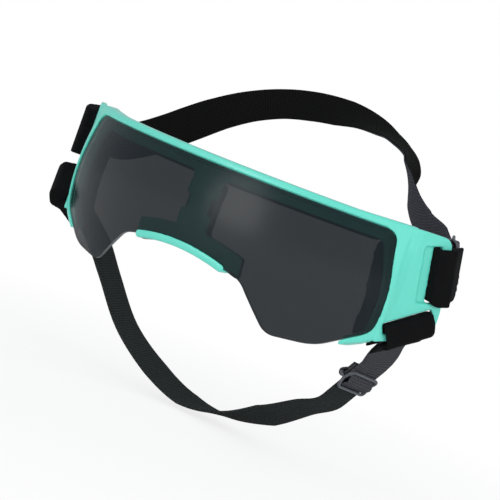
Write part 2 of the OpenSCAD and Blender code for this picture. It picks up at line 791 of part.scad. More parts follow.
frame();
lens();
brow_pad();
side_pad(-1);  // left_side_pad
side_pad(1);  // right_side_pad
nose_pad();
upper_left_tab();
upper_right_tab();
lower_left_tab();
lower_right_tab();
webbing(head_stations);  // head_strap
on_head_run() strap_end();  // head_strap_end
on_head_run() slider();  // head_slider
webbing(chin_stations);  // chin_strap
on_chin_run() strap_end();  // chin_strap_end
on_chin_run() slider();  // chin_slider
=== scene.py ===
"""Dog goggles: materials, soft pieces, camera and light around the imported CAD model."""

import math

import bmesh
import bpy
import numpy as np
from mathutils import Matrix, Vector


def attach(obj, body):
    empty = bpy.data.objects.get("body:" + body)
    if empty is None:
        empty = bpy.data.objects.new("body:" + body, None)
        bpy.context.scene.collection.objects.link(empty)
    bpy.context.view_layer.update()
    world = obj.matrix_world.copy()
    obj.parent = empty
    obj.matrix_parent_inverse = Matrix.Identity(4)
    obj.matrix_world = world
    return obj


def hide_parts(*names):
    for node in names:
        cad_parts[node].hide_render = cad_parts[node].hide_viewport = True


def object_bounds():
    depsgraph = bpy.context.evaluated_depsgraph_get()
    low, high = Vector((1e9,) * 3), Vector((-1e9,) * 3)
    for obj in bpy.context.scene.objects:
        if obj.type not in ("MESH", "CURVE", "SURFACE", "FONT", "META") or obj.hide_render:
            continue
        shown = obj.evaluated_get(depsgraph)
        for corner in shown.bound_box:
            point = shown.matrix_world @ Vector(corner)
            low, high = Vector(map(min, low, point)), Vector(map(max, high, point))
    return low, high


MM = 0.001

# Webbing, and how deep a tab's mouth holds it, as in the CAD model
WEB_WIDTH = 18 * MM
WEB_WALL = 1.4 * MM
WEB_HELD = 4.5 * MM

# Straight runs that the sliders sit on: their rotate angles, and the slider's middle in mm.
# RUN_FAR and RUN_NEAR are the distances from that middle to the run's two ends.
HEAD_RUN = ((66, -16.3, 130.3), (87, 70.4, 28.4))
CHIN_RUN = ((194.6, 59, 180), (73.6, 49, -35.2))
RUN_LENGTH = 27 * MM
RUN_FAR = RUN_LENGTH / 2
RUN_NEAR = RUN_LENGTH / 2.6

# Sliders: a round bar bent to a loop, clear of the webbing's face and edges
SLIDER_LENGTH = 11 * MM
SLIDER_BAR = 0.7 * MM
SLIDER_GAP = 0.3 * MM
SLIDER_EDGE_GAP = 0.6 * MM
SLIDER_RAIL = 1.3 * MM
SLIDER_HALF = WEB_WIDTH / 2 + SLIDER_EDGE_GAP + SLIDER_RAIL
SLIDER_CORNER = 2.2 * MM
SIDE_DIP = 0.9 * MM
LONG_SIDE = 3 * MM
SIDE_STEPS = 8
CORNER_STEPS = 6

# The middle bar's end: how far in from the slider's side, and how high over the bar
BAR_BEND = ((0, 1.2 * MM), (0.5 * MM, 0.3 * MM), (1.4 * MM, 0))

# Strap ends, folded round the middle bars
END_WALL = 1 * MM
END_LENGTH = 7 * MM
END_GAP = 0.3 * MM

# The fold: the share of the length where its upper layer starts to bend, its angles round the bar,
# the place where it comes back under the bar, and where its lower layer starts. That layer lies
# LAYER_STEP walls under the upper one.
FOLD_STRAIGHT = 0.6
FOLD_DEGREES = range(-30, 211, 20)
FOLD_BACK = 2.2 * MM
FOLD_LIFT = 0.15 * MM
FOLD_SAG = 0.35
LOWER_START = 3.4 * MM
LAYER_STEP = 1.02

# The strap end's turn over the slider: its places along the run in mm, the span from the first to
# the last, its rise in the middle, its height over the webbing, and its wall
TURN_PLACES = (-3.7, -3.1, -2.5, -1.8, -1, 0, 1, 1.8, 2.5, 3.1, 3.7)
TURN_SPAN = 7.4
TURN_RISE = 1.9 * MM
TURN_CLEAR = 0.5 * MM
TURN_WALL = 0.9 * MM

# Stitches on the strap ends
STITCH_ROWS = (-4.6 * MM, -6.1 * MM)
STITCH_HALF = 7.6 * MM
STITCH_SUNK = 0.02 * MM
STITCH_SIZES = (("Pitch", 2.2 * MM), ("Length", 1.5 * MM), ("Thread Radius", 0.16 * MM))
STITCH_CROWN = 0.25 * MM
STITCH_STEPS = 6

# Bars of the frame that the tabs wrap: middles in mm and directions on the right side
UPPER_BAR_MID = (95.796, 43.647, 22.6)
UPPER_BAR_DIR = (-0.116, -0.179, 0.977)
LOWER_BAR_MID = (92.365, 38.363, -4.9)
LOWER_BAR_DIR = (0.4716, 0.7263, 0.5)
PANEL_NORMAL = (0.8387, -0.5446, 0)

# Tabs: where each points, how far it reaches from its bar, and how the lower ones are turned
UPPER_LEFT_TAIL = (-0.05, 0.98, 0.18)
UPPER_RIGHT_TAIL = (0, 0.98, 0.18)
LOWER_LEFT_TAIL = (0.73, 0.4, -0.56)
UPPER_REACH = 13 * MM
LOWER_RIGHT_REACH = 9 * MM
LOWER_RIGHT_DROP = 7 * MM
LOWER_RIGHT_TWIST = 0.12
LOWER_LEFT_REACH = 15 * MM
LOWER_LEFT_OUT = 5 * MM

# Middle of the lens's sphere, and the cosine under which a face counts as its cut edge
LENS_CENTRE = (0, 106.13 * MM, 11 * MM)
EDGE_COSINE = 0.6

# Webbing: steps between two points of a route, on a run or bend, and round its section
ROUTE_STEPS = 7
RUN_STEPS = 6
FLAT_STEPS = 12
EDGE_STEPS = 5
MOUTH_STRAIGHT = 1 * MM

# Round bars: sides, and a direction that none of them starts along
BAR_SIDES = 12
ASIDE = (0.3, 0.5, 0.8)

# Copied solids: merging distance, and for rounding a voxel, rounds of smoothing and faces kept
MERGE_DISTANCE = 0.001 * MM
SMOOTH_FACTOR = 0.5
FRAME_ROUNDING = (0.38 * MM, 24, 0.55)
PAD_ROUNDING = (0.9 * MM, 8)
TAB_ROUNDING = (0.35 * MM, 12)

# Colours, the darker and the lighter tone of each surface
MINT = ((0.11, 0.65, 0.52), (0.13, 0.69, 0.56))
FOAM = ((0.012, 0.012, 0.012), (0.028, 0.028, 0.028))
FABRIC = ((0.0025, 0.0025, 0.0027), (0.008, 0.008, 0.0085))
PLASTIC = ((0.05, 0.055, 0.065), (0.085, 0.09, 0.105))
THREAD = ((0.01, 0.01, 0.01), (0.035, 0.035, 0.035))
SMOKE = (0.004, 0.0085, 0.0115)
LENS_EDGE = (0.09, 0.1, 0.105)

# Webbing: its black and its grey, how much lighter their lit tone is (a painted highlight on the
# raised ribs and fibres), its ribs' pitch, and the length of the chin strap's grey end. Its own end
# is grey from its first tenth of a millimetre.
HEAD_COLOURS = ((0.002, 0.002, 0.0019), (0.021, 0.0215, 0.0265))
CHIN_COLOURS = ((0.009, 0.0105, 0.0102), (0.026, 0.026, 0.029))
BLACK_LIT = 3.4
GREY_LIT = 2.9
HEAD_PITCH = 1.3 * MM
CHIN_PITCH = 1.25 * MM
CHIN_GREY_END = 34 * MM
GREY_THROUGHOUT = 0.1 * MM

# The photograph's camera, solved from the object: place in metres, then azimuth, elevation and roll
CAMERA_AT = (0.42354, -0.75407, 0.08105)
CAMERA_TURNS = (27.72, 5.107, 20.22)
SENSOR_WIDTH = 36
FOCAL_LENGTH = 144
CLIP_START, CLIP_END = 0.02, 20

# Lamps: name, place, size, power, and whether gloss and matt surfaces see them
LAMPS = (
    ("key", (-0.7, -1.3, 0.8), 1.6, 12, False, True),
    ("lens_glow", (-0.26, -1.6, 0.16), 0.8, 5, True, False),
    ("fill", (1.4, -0.6, 0.5), 1.2, 11.5, False, True),
    ("rim", (0.2, 1.2, 0.9), 1.0, 3, False, True),
)
LAMP_AIM = (0, 0.05, 0)

# World and floor. The floor shows a share of white to the camera, which grows with distance.
WHITE = (1, 1, 1, 1)
SOFT_WORLD = {"Color": (0.93, 0.96, 1, 1), "Strength": 0.55}
FLOOR_COLOUR = (0.86, 0.86, 0.86, 1)
FLOOR_HALF = 3
FLOOR_DROP = 2 * MM
FLOOR_WHITE = 0.78
FLOOR_GROWTH = 2.5


def vec(p):
    return np.array(p, float)


def unit(v):
    return vec(v) / np.linalg.norm(v)


def flip(p):
    """The same place or direction on the left side."""
    return vec(p) * (-1, 1, 1)


# Strap routes


def slider_run(turns, middle):
    """A run's middle, and its directions along it, across the webbing, and out of its face."""
    a, b, c = (math.radians(x) for x in turns)
    along = vec((math.cos(b) * math.cos(c), math.cos(b) * math.sin(c), -math.sin(b)))
    across = math.cos(a) * vec((-math.sin(c), math.cos(c), 0)) + math.sin(a) * vec(
        (math.sin(b) * math.cos(c), math.sin(b) * math.sin(c), math.cos(b))
    )
    return vec(middle) * MM, (along, across, np.cross(along, across))


def run_point(run, x, y, z):
    """The place x along a run, y across it and z out of its face."""
    at, (along, across, out) = run
    return at + along * x + across * y + out * z


HEAD = slider_run(*HEAD_RUN)
CHIN = slider_run(*CHIN_RUN)


def upper_mouths():
    """The upper tabs' mouths, left and right: middle, direction across, and direction out."""
    middle = vec(UPPER_BAR_MID) * MM
    left_tail = unit(UPPER_LEFT_TAIL)
    right_tail = unit(UPPER_RIGHT_TAIL)
    left = (flip(middle) + left_tail * UPPER_REACH, flip(UPPER_BAR_DIR), left_tail)
    right = (middle + right_tail * UPPER_REACH, -vec(UPPER_BAR_DIR), right_tail)
    return left, right


def lower_mouths():
    """The lower tabs' mouths. The right one points and turns towards the chin strap's run."""
    middle = vec(LOWER_BAR_MID) * MM
    left_tail = unit(LOWER_LEFT_TAIL)
    left_middle = flip(middle + vec(PANEL_NORMAL) * LOWER_LEFT_OUT)
    left = (left_middle + left_tail * LOWER_LEFT_REACH, -flip(LOWER_BAR_DIR), left_tail)
    drop = vec(LOWER_BAR_DIR) * LOWER_RIGHT_DROP
    right_tail = unit(run_point(CHIN, -RUN_FAR, 0, 0) - drop - middle)
    share = LOWER_RIGHT_TWIST
    right_across = vec(LOWER_BAR_DIR) * (1 - share) + CHIN[1][1] * share
    right = (middle + right_tail * LOWER_RIGHT_REACH, -right_across, right_tail)
    return left, right


# Free straps from left to right: a place in mm, and the direction across the webbing there
HEAD_ROUTE = [
    ((-98, 72, 22), (0, -1, 10)),
    ((-96, 87, 26), (-3, -2, 9)),
    ((-93, 102, 33), (-5, -3, 8)),
    ((-91, 116, 40), (-6, -2, 8)),
    ((-85, 131, 50), (-6, 1, 7)),
    ((-75, 142, 59), (-5, 3, 8)),
    ((-61, 149, 66), (-3, 4, 8)),
    ((-45, 151, 70), (-1, 5, 9)),
    ((-27, 148, 72), (1, 6, 8)),
    ((-10, 142, 72), (3, 8, 5)),
    ((4, 135, 70), (4, 9, 2)),
    ((15, 129, 68), (2, 10, 0)),
    ((24, 123, 65), (2, 10, -1)),
    ((31, 117, 61), (2, 9, -3)),
    ((35, 111, 56), (1, 8, -5)),
    ((40, 105, 51), (-1, 7, -7)),
    ((45, 100, 47), (-4, 8, -5)),
    ((52, 95, 42), (-5, 7, -4)),
    ((61, 90, 37), (-6, 6, -5)),
]
CHIN_ROUTE = [
    ((-74, 47, -25), (2, -9, -4)),
    ((-64, 49, -37), (1, -10, -2)),
    ((-47, 51, -56), (1, -10, -2)),
    ((-26, 53, -69), (2, -9, -3)),
    ((-5, 54, -76), (2, -9, -2)),
    ((16, 54, -75), (3, -9, 2)),
    ((36, 53, -67), (-1, -9, 5)),
    ((53, 51, -56), (-1.5, -9.5, 3)),
]


def hermite(a, slope_a, b, slope_b, s):
    """A point on the smooth curve from a to b, at a share s of the way."""
    return (
        a * (1 + 2 * s) * (1 - s) ** 2
        + slope_a * s * (1 - s) ** 2
        + b * s * s * (3 - 2 * s)
        - slope_b * s * s * (1 - s)
    )


def strap_stations(route, left_mouth, run, right_mouth):
    """Middles and directions across, from the held end in the left tab to the one in the right."""
    start, start_across, start_tail = left_mouth
    end, end_across, end_tail = right_mouth
    at, (along, across, _) = run
    far, near = at + along * RUN_FAR, at - along * RUN_NEAR
    points = [start, *(vec(p) * MM for p, _ in route), far]
    widths = [unit(start_across), *(unit(w) for _, w in route), -across]
    slopes = [
        start_tail * np.linalg.norm(points[1] - points[0]),
        *((after - before) / 2 for before, after in zip(points, points[2:])),
        -along * np.linalg.norm(points[-1] - points[-2]),
    ]
    stations = [(start - start_tail * WEB_HELD, unit(start_across))]
    for i in range(len(points) - 1):
        for k in range(ROUTE_STEPS):
            s = k / ROUTE_STEPS
            place = hermite(points[i], slopes[i], points[i + 1], slopes[i + 1], s)
            stations.append((place, widths[i] + (widths[i + 1] - widths[i]) * s))
    for k in range(RUN_STEPS + 1):
        stations.append((far + (near - far) * k / RUN_STEPS, -across))
    mouth = end + end_tail * MOUTH_STRAIGHT
    reach = np.linalg.norm(mouth - near)
    for k in range(1, RUN_STEPS):
        s = k / RUN_STEPS
        bend = hermite(near, -along * reach, mouth, -end_tail * reach, s)
        stations.append((bend, -across + (end_across + across) * s))
    stations += [(mouth, end_across), (end, end_across), (end - end_tail * WEB_HELD, end_across)]
    return [(place, unit(width)) for place, width in stations]


# Mesh helpers


def add_object(name, data):
    made = bpy.data.objects.new(name, data)
    bpy.context.scene.collection.objects.link(made)
    return made


def shade_smooth(mesh):
    mesh.polygons.foreach_set("use_smooth", [True] * len(mesh.polygons))


def edit_mesh(mesh, change):
    """Makes one bmesh change to a mesh."""
    bm = bmesh.new()
    bm.from_mesh(mesh)
    change(bm)
    bm.to_mesh(mesh)
    bm.free()


def face_outwards(mesh):
    edit_mesh(mesh, lambda bm: bmesh.ops.recalc_face_normals(bm, faces=bm.faces))


def new_object(name, verts, faces, uvs=None, edges=()):
    mesh = bpy.data.meshes.new(name)
    mesh.from_pydata([tuple(v) for v in verts], edges, faces)
    mesh.validate()
    if uvs is not None:
        layer = mesh.uv_layers.new(name="UVMap")
        for loop in mesh.loops:
            layer.data[loop.index].uv = uvs[loop.vertex_index]
    shade_smooth(mesh)
    return add_object(name, mesh)


def tube_faces(rings, ring, closed=False, twist=0):
    """Faces between rings of points: round to the first ring if closed, or with two end caps."""
    faces = []
    for i in range(rings if closed else rings - 1):
        a, b = i * ring, (i + 1) % rings * ring
        turn = twist if i == rings - 1 else 0
        for j in range(ring):
            k = (j + 1) % ring
            faces.append((a + j, a + k, b + (k + turn) % ring, b + (j + turn) % ring))
    if not closed:
        faces.append(tuple(range(ring - 1, -1, -1)))
        faces.append(tuple(range((rings - 1) * ring, rings * ring)))
    return faces


def web_section(wall):
    """Outline of the webbing's section, (across, out), with round edges."""
    r = wall / 2
    half = WEB_WIDTH / 2 - r
    points = []
    for side in (1, -1):
        for i in range(FLAT_STEPS):
            points.append((side * (-half + 2 * half * i / FLAT_STEPS), side * r))
        for i in range(EDGE_STEPS):
            a = math.pi * i / EDGE_STEPS
            points.append((side * (half + r * math.sin(a)), side * r * math.cos(a)))
    return points


def web_band(name, stations, wall=WEB_WALL):
    """Webbing through the stations. Its UV map holds metres across and along it, and its
    attribute web_side which side a point is on, from -1 to 1."""
    places = np.array([place for place, _ in stations])
    last = len(places) - 1
    steps = np.linalg.norm(np.diff(places, axis=0), axis=1)
    lengths = np.concatenate([[0], np.cumsum(steps)])
    section = web_section(wall)
    verts, uvs, sides = [], [], []
    for i, (place, station_across) in enumerate(stations):
        along = unit(places[min(i + 1, last)] - places[max(i - 1, 0)])
        across = unit(station_across - along * (station_across @ along))
        out = np.cross(along, across)
        for a, b in section:
            verts.append(place + across * a + out * b)
            uvs.append((a, lengths[i]))
            sides.append(b / (wall / 2))
    made = new_object(name, verts, tube_faces(len(places), len(section)), uvs)
    side = made.data.attributes.new("web_side", "FLOAT", "POINT")
    side.data.foreach_set("value", np.array(sides, np.float32))
    face_outwards(made.data)
    return made


def round_bar(name, points, closed):
    """A slider's round bar through the points, closed to a loop or capped at its ends."""
    n = len(points)
    verts = []
    normal = None
    for i, point in enumerate(points):
        before = points[(i - 1) % n] if closed or i > 0 else point
        after = points[(i + 1) % n] if closed or i < n - 1 else point
        along = unit(after - before)
        if normal is None:
            normal = unit(np.cross(along, ASIDE))
        normal = unit(normal - along * (normal @ along))
        side = np.cross(along, normal)
        for j in range(BAR_SIDES):
            a = 2 * math.pi * j / BAR_SIDES
            verts.append(point + SLIDER_BAR * (normal * math.cos(a) + side * math.sin(a)))
    last_ring = verts[-BAR_SIDES:]
    nearest = min(range(BAR_SIDES), key=lambda j: np.linalg.norm(last_ring[j] - verts[0]))
    made = new_object(name, verts, tube_faces(n, BAR_SIDES, closed, -nearest))
    face_outwards(made.data)
    return made


def join(name, *objs):
    """Several made pieces as one, keeping their UV maps and attributes."""
    bpy.ops.object.select_all(action="DESELECT")
    for obj in objs:
        obj.select_set(True)
    bpy.context.view_layer.objects.active = objs[0]
    bpy.ops.object.join()
    objs[0].name = name
    objs[0].data.name = name
    return objs[0]


def apply_modifiers(obj):
    graph = bpy.context.evaluated_depsgraph_get()
    mesh = bpy.data.meshes.new_from_object(obj.evaluated_get(graph))
    obj.modifiers.clear()
    obj.data = mesh
    shade_smooth(mesh)
    return obj


def rounded_copy(node, name, voxel, smooth, keep=1.0):
    """A copy of a CAD node's shape, merged and remeshed, with its edges softly rounded."""
    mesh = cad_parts[node].data.copy()
    mesh.materials.clear()
    mesh.name = name
    edit_mesh(
        mesh, lambda bm: bmesh.ops.remove_doubles(bm, verts=bm.verts, dist=MERGE_DISTANCE)
    )
    made = add_object(name, mesh)
    remesh = made.modifiers.new("remesh", "REMESH")
    remesh.mode = "VOXEL"
    remesh.voxel_size = voxel
    soft = made.modifiers.new("soft", "SMOOTH")
    soft.factor = SMOOTH_FACTOR
    soft.iterations = smooth
    if keep < 1:
        thin = made.modifiers.new("thin", "DECIMATE")
        thin.ratio = keep
    return apply_modifiers(made)


# Nodes


class Value:
    """A socket that takes part in Python expressions, which add its Math nodes."""

    def __init__(self, graph, socket):
        self.graph, self.socket = graph, socket

    def maths(self, operation, *values):
        settings = {"operation": operation}
        return self.graph.node("ShaderNodeMath", settings, dict(enumerate(values))).out(0)

    def __add__(self, other):
        return self.maths("ADD", self, other)

    def __mul__(self, other):
        return self.maths("MULTIPLY", self, other)

    def __sub__(self, other):
        return self.maths("SUBTRACT", self, other)

    def __rsub__(self, other):
        return self.maths("SUBTRACT", other, self)

    def __gt__(self, other):
        return self.maths("GREATER_THAN", self, other)

    def __lt__(self, other):
        return self.maths("LESS_THAN", self, other)

    __radd__ = __add__
    __rmul__ = __mul__

    def wave(self):
        """A sine wave from 0 to 1, for a phase."""
        return self.maths("SINE", self) * 0.5 + 0.5

    def clamped(self):
        return self.maths("MINIMUM", self.maths("MAXIMUM", self, 0.0), 1.0)


class Made:
    """A node that was just made, for its outputs."""

    def __init__(self, graph, node):
        self.graph, self.node = graph, node

    def out(self, key):
        return Value(self.graph, self.node.outputs[key])


class Graph:
    """A node tree whose nodes are all made by one method."""

    def __init__(self, tree):
        self.tree = tree
        tree.nodes.clear()

    def node(self, kind, settings, inputs):
        made = self.tree.nodes.new(kind)
        for key, value in settings.items():
            setattr(made, key, value)
        for key, value in inputs.items():
            if isinstance(value, Value):
                self.tree.links.new(value.socket, made.inputs[key])
            else:
                made.inputs[key].default_value = value
        return Made(self, made)


def opaque(colour):
    return (*colour, 1)


class Finish(Graph):
    """A material, as a graph with the nodes that several finishes use."""

    def __init__(self, name):
        self.material = bpy.data.materials.new(name)
        self.material.use_nodes = True
        super().__init__(self.material.node_tree)

    def place(self):
        return self.node("ShaderNodeTexCoord", {}, {}).out("Object")

    def noise(self, scale, detail=3.0):
        inputs = {"Vector": self.place(), "Scale": scale, "Detail": detail, "Roughness": 0.6}
        return self.node("ShaderNodeTexNoise", {}, inputs).out("Fac")

    def blend_colours(self, share, a, b):
        return self.node("ShaderNodeMix", {"data_type": "RGBA"}, {0: share, 6: a, 7: b}).out(2)

    def tones(self, share, colours):
        dark, light = colours
        return self.blend_colours(share, opaque(dark), opaque(light))

    def bump(self, height, distance, strength):
        inputs = {"Height": height, "Distance": distance, "Strength": strength}
        return self.node("ShaderNodeBump", {}, inputs).out("Normal")

    def output(self, shader):
        self.node("ShaderNodeOutputMaterial", {}, {"Surface": shader.out(0)})
        return self.material

    def surface(self, **values):
        inputs = {key.replace("_", " "): value for key, value in values.items()}
        return self.output(self.node("ShaderNodeBsdfPrincipled", {}, inputs))


# Materials


def moulded_mint():
    m = Finish("moulded_mint")
    cloud = m.noise(scale=60.0)
    grain = m.noise(scale=2600.0, detail=2.0)
    return m.surface(
        Base_Color=m.tones(cloud, MINT),
        Roughness=0.24 + cloud * 0.1,
        Normal=m.bump(grain, distance=0.03 * MM, strength=0.35),
        Specular_IOR_Level=0.75,
    )


def smoked_lens():
    """The lens's faces. A look through it passes two of them, so the alpha counts twice."""
    m = Finish("smoked_lens")
    haze = m.noise(scale=25.0)
    return m.surface(
        Base_Color=opaque(SMOKE),
        Roughness=0.2 + haze * 0.06,
        Alpha=0.846,
        Specular_IOR_Level=0.25,
    )


def lens_rim():
    m = Finish("lens_rim")
    saw = m.noise(scale=900.0)
    return m.surface(Base_Color=opaque(LENS_EDGE), Roughness=0.25 + saw * 0.2)


def open_foam():
    m = Finish("open_foam")
    pore_inputs = {"Vector": m.place(), "Scale": 1400.0}
    pores = m.node("ShaderNodeTexVoronoi", {}, pore_inputs).out("Distance")
    cloud = m.noise(scale=180.0)
    return m.surface(
        Base_Color=m.tones(cloud, FOAM),
        Roughness=0.95,
        Normal=m.bump(pores, distance=0.4 * MM, strength=0.7),
        Specular_IOR_Level=0.2,
    )


def brushed_fabric():
    m = Finish("brushed_fabric")
    fuzz = m.noise(scale=2200.0, detail=4.0)
    patches = m.noise(scale=120.0)
    return m.surface(
        Base_Color=m.tones(fuzz * 0.6 + patches * 0.4, FABRIC),
        Roughness=0.88,
        Normal=m.bump(fuzz + patches * 0.6, distance=0.4 * MM, strength=0.6),
        Specular_IOR_Level=0.08,
    )


def woven_elastic(name, colours, pitch, grey_from=None):
    """Elastic webbing: ribs across it, crossed by slanting picks, with a painted highlight on the
    raised ribs and fibres. It is black on one side and grey on the other, or black at first and
    grey all round from some way along it."""
    m = Finish(name)
    uv = m.node("ShaderNodeUVMap", {"uv_map": "UVMap"}, {}).out("UV")
    parts = m.node("ShaderNodeSeparateXYZ", {}, {"Vector": uv})
    across, along = parts.out("X"), parts.out("Y")
    side = m.node("ShaderNodeAttribute", {"attribute_name": "web_side"}, {}).out("Fac")
    wobble = m.noise(scale=700.0, detail=2.0)
    turn = 2 * math.pi / pitch
    rib = (along * turn + wobble * 2.4).wave()
    pick = (across * (turn * 0.8) + along * (turn * 0.5) + wobble * 3.0).wave()
    weave = rib * 0.5 + pick * 0.5
    fibres = m.noise(scale=2300.0)
    patch = m.noise(scale=90.0)
    is_grey = along > grey_from if grey_from else side < 0.0
    black, grey = colours
    base = m.tones(is_grey, colours)
    # The lit tone is a painted highlight, laid on the raised ribs and fibres
    lit = m.tones(is_grey, ([BLACK_LIT * c for c in black], [GREY_LIT * c for c in grey]))
    painted_rib_highlight = (weave * 0.95 + fibres * 1.5 + patch * 0.2 - 0.82).clamped()
    return m.surface(
        Base_Color=m.blend_colours(painted_rib_highlight, base, lit),
        Roughness=0.9,
        Normal=m.bump(weave + fibres * 0.35, distance=0.28 * MM, strength=0.8),
        Specular_IOR_Level=0.08,
    )


def slider_plastic():
    m = Finish("slider_plastic")
    cloud = m.noise(scale=300.0)
    return m.surface(
        Base_Color=m.tones(cloud, PLASTIC),
        Roughness=0.28 + cloud * 0.12,
        Normal=m.bump(m.noise(scale=1800.0), distance=0.03 * MM, strength=0.4),
    )


def sewing_thread():
    m = Finish("sewing_thread")
    twist = m.noise(scale=4000.0)
    return m.surface(Base_Color=m.tones(twist, THREAD), Roughness=0.6)


def paint(obj, *materials):
    obj.data.materials.clear()
    for material in materials:
        obj.data.materials.append(material)


def finish_piece(obj, material, body, slot, *nodes):
    """Gives a made piece its material and its body, and hides the CAD nodes it stands for. The slot
    argument is not used.
    """
    paint(obj, material)
    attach(obj, body)
    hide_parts(*nodes)


# Rigid pieces


def dress_frame(mint):
    """The moulded frame with its edges rounded as a mould leaves them."""
    made = rounded_copy("frame", "frame_moulding", *FRAME_ROUNDING)
    finish_piece(made, mint, "frame", "mint_frame", "frame")


def dress_lens(smoke, rim):
    """The lens keeps its shape. Its faces are smoked and its cut edge is lighter."""
    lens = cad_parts["lens"]
    paint(lens, smoke, rim)
    lens.visible_shadow = False
    lens.visible_diffuse = False
    for face in lens.data.polygons:
        outward = unit(vec(face.center) - vec(LENS_CENTRE))
        face.material_index = 1 if abs(outward @ vec(face.normal)) < EDGE_COSINE else 0


def slider_outline(half_length, half_width):
    """The corners of a slider's loop, rounded, as places along and across the run."""
    corners = ((1, 1, 0), (-1, 1, 90), (-1, -1, 180), (1, -1, 270))
    outline = []
    for x_side, y_side, start in corners:
        for k in range(CORNER_STEPS + 1):
            a = math.radians(start + 90 * k / CORNER_STEPS)
            x = x_side * (half_length - SLIDER_CORNER) + SLIDER_CORNER * math.cos(a)
            y = y_side * (half_width - SLIDER_CORNER) + SLIDER_CORNER * math.sin(a)
            outline.append((x, y))
    return outline


def slider_piece(name, run):
    """A slider: a loop over the webbing, whose sides dip, and a middle bar under the webbing."""
    half_length = SLIDER_LENGTH / 2 - SLIDER_BAR
    half_width = SLIDER_HALF - SLIDER_BAR
    top = WEB_WALL / 2 + SLIDER_GAP + SLIDER_BAR
    low = -WEB_WALL / 2 - 2 * END_GAP - END_WALL - SLIDER_BAR
    outline = slider_outline(half_length, half_width)
    loop = []
    for (x, y), (next_x, next_y) in zip(outline, outline[1:] + outline[:1]):
        is_long = abs(next_x - x) + abs(next_y - y) > LONG_SIDE
        steps = SIDE_STEPS if is_long else 1
        for k in range(steps):
            px, py = x + (next_x - x) * k / steps, y + (next_y - y) * k / steps
            on_side = abs(py) > half_width - SLIDER_BAR
            dip = math.cos(math.pi * px / (2 * half_length)) ** 2 * SIDE_DIP if on_side else 0
            loop.append(run_point(run, px, py, top - dip))
    ring = round_bar(name + "_ring", loop, closed=True)
    profile = [(0, top - SIDE_DIP), *((inset, low + height) for inset, height in BAR_BEND)]
    left = [run_point(run, 0, inset - half_width, z) for inset, z in profile]
    right = [run_point(run, 0, half_width - inset, z) for inset, z in reversed(profile)]
    middle = round_bar(name + "_middle", left + right, closed=False)
    return join(name, ring, middle)


def strap_end_piece(name, run):
    """The webbing's own end, folded round the middle bar, and its turn between the outer bars."""
    bar_z = -WEB_WALL / 2 - 2 * END_GAP - END_WALL - SLIDER_BAR
    r = SLIDER_BAR + END_GAP + END_WALL / 2
    lower = r - END_WALL * LAYER_STEP
    turns = [math.radians(a) for a in FOLD_DEGREES]
    upper_layer = [(-END_LENGTH, r), (-END_LENGTH * FOLD_STRAIGHT, r)]
    round_the_bar = [(r * math.sin(a), r * math.cos(a)) for a in turns]
    coming_back = [(-FOLD_BACK, FOLD_LIFT - r * FOLD_SAG)]
    lower_layer = [(-LOWER_START, lower), (-END_LENGTH, lower)]
    path = upper_layer + round_the_bar + coming_back + lower_layer
    across = -run[1][1]
    fold_stations = [(run_point(run, x, 0, bar_z + z), across) for x, z in path]
    fold = web_band(name + "_fold", fold_stations, END_WALL)
    turn_stations = []
    for x in TURN_PLACES:
        rise = TURN_RISE * math.cos(math.pi * x / TURN_SPAN) ** 2
        place = run_point(run, x * MM, 0, WEB_WALL / 2 + TURN_CLEAR + rise)
        turn_stations.append((place, across))
    turn = web_band(name + "_turn", turn_stations, TURN_WALL)
    return join(name, fold, turn)


# Soft pieces


def foam_pad(node, foam):
    """A foam strip: its solid with its edges rounded."""
    made = rounded_copy(node, node + "_foam", *PAD_ROUNDING)
    finish_piece(made, foam, "frame", "foam", node)


def fabric_tab(node, fabric):
    """A folded tab of brushed fabric, soft at every edge."""
    made = rounded_copy(node, node + "_fabric", *TAB_ROUNDING)
    finish_piece(made, fabric, "frame", "tab_fabric", node)


# Stitches


def stitch_tree(thread):
    """Stitches along the edges of a mesh: short bent rods at even steps, lying along the line."""
    tree = bpy.data.node_groups.new("stitch_rows", "GeometryNodeTree")
    face = tree.interface
    face.new_socket("Geometry", in_out="INPUT", socket_type="NodeSocketGeometry")
    for label, size in STITCH_SIZES:
        socket = face.new_socket(label, in_out="INPUT", socket_type="NodeSocketFloat")
        socket.default_value = size
    face.new_socket("Geometry", in_out="OUTPUT", socket_type="NodeSocketGeometry")

    g = Graph(tree)
    given = g.node("NodeGroupInput", {}, {})
    line = g.node("GeometryNodeMeshToCurve", {}, {0: given.out("Geometry")})
    spacing = {0: line.out(0), "Length": given.out("Pitch")}
    points = g.node("GeometryNodeCurveToPoints", {"mode": "LENGTH"}, spacing)

    def rod_end(z):
        corner = g.node("ShaderNodeCombineXYZ", {}, {"Z": z})
        scale = {0: corner.out(0), "Scale": given.out("Length")}
        return g.node("ShaderNodeVectorMath", {"operation": "SCALE"}, scale).out(0)

    crown = g.node("ShaderNodeCombineXYZ", {}, {"X": STITCH_CROWN}).out(0)
    bend = {
        "Resolution": STITCH_STEPS,
        "Start": rod_end(-0.5),
        "Middle": crown,
        "End": rod_end(0.5),
    }
    arc = g.node("GeometryNodeCurveQuadraticBezier", {}, bend)
    section = {"Resolution": STITCH_STEPS, "Radius": given.out("Thread Radius")}
    ring = g.node("GeometryNodeCurvePrimitiveCircle", {}, section)
    sweep = {0: arc.out(0), 1: ring.out(0), "Fill Caps": True}
    rod = g.node("GeometryNodeCurveToMesh", {}, sweep)
    spread = {
        "Points": points.out("Points"),
        "Instance": rod.out(0),
        "Rotation": points.out("Rotation"),
    }
    placed = g.node("GeometryNodeInstanceOnPoints", {}, spread)
    real = g.node("GeometryNodeRealizeInstances", {}, {0: placed.out(0)})
    painted = g.node("GeometryNodeSetMaterial", {}, {0: real.out(0), "Material": thread})
    g.node("NodeGroupOutput", {}, {0: painted.out(0)})
    return tree


